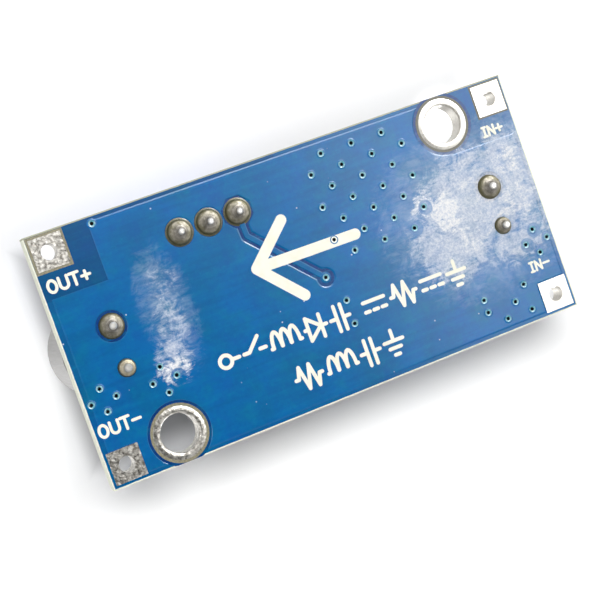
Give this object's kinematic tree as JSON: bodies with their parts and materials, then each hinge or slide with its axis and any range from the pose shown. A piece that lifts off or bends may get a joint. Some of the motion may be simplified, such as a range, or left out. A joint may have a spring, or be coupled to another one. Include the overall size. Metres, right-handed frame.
{
  "type": "buck converter module",
  "caption": "Adjustable step-down power converter module: a small blue circuit board with capacitors, a shielded coil, a regulator, a screw trimmer, terminal pads and mounting holes.",
  "frame": {"origin": "middle of the two mounting holes, on the solder side of the board", "axes": "+X from the input end to the output end, +Y towards the positive terminals, +Z out of the component side"},
  "size_m": [0.043, 0.021, 0.0146],
  "materials": {
    "board_mask": "glossy solder mask over laminate",
    "tinned_copper": "hot-air-levelled tin, uneven and bright",
    "solder": "satin solder",
    "tinned_lead": "tinned metal",
    "moulding_black": "fine matte moulded epoxy",
    "silicon": "polished",
    "ferrite": "satin grey-black sintered",
    "copper_wire": "enamelled copper",
    "adhesive": "cured epoxy",
    "can_aluminium": "drawn aluminium, lightly brushed",
    "black_rubber": "matte",
    "foil_roll": "wound foil and paper",
    "blue_plastic": "satin moulded plastic",
    "potting": "cast resin",
    "white_ceramic": "matte",
    "resistive_track": "satin",
    "red_rubber": "matte",
    "brass_screw": "turned brass",
    "white_plastic": "moulded nylon",
    "bronze_spring": "spring bronze"
  },
  "bodies": {
    "module": {"circuit_board": "board_mask", "plated_vias": "tinned_copper", "terminal_pads": "tinned_copper", "mounting_rings": "tinned_copper", "component_lands": "tinned_copper", "reflow_solder": "solder", "trimmer_solder": "solder", "capacitor_solder": "solder", "regulator_body": "moulding_black", "regulator_tab": "tinned_lead", "regulator_leads": "tinned_lead", "regulator_die": "silicon", "inductor_base": "moulding_black", "inductor_terminals": "tinned_lead", "inductor_core": "ferrite", "inductor_winding": "copper_wire", "inductor_shield": "ferrite", "inductor_adhesive": "adhesive", "diode_body": "moulding_black", "diode_terminals": "tinned_lead", "input_can": "can_aluminium", "input_bung": "black_rubber", "input_roll": "foil_roll", "input_leads": "tinned_lead", "output_can": "can_aluminium", "output_bung": "black_rubber", "output_roll": "foil_roll", "output_leads": "tinned_lead", "trimmer_housing": "blue_plastic", "trimmer_base": "potting", "trimmer_pins": "tinned_lead", "trimmer_element": "white_ceramic", "trimmer_track": "resistive_track", "trimmer_seal": "red_rubber", "resistor_body": "moulding_black", "resistor_caps": "tinned_lead"},
    "adjusting_screw": {"trimmer_screw": "brass_screw"},
    "wiper_wheel": {"trimmer_wheel": "white_plastic", "trimmer_wiper": "bronze_spring"}
  },
  "joints": [
    {"name": "trimmer_adjust", "type": "hinge", "parent": "module", "child": "adjusting_screw", "pos_m": [0.00375, 0.0078, 0.0128], "axis": [0, 0, 1], "range_deg": [-4500, 4500]},
    {"name": "wheel_turn", "type": "hinge", "parent": "module", "child": "wiper_wheel", "pos_m": [0.00751, 0.0078, 0.007], "axis": [0, 1, 0], "range_deg": [-136.5, 136.5]}
  ],
  "couplings": [
    {"joint": "wheel_turn", "follows": "trimmer_adjust", "ratio": -0.030303}
  ]
}
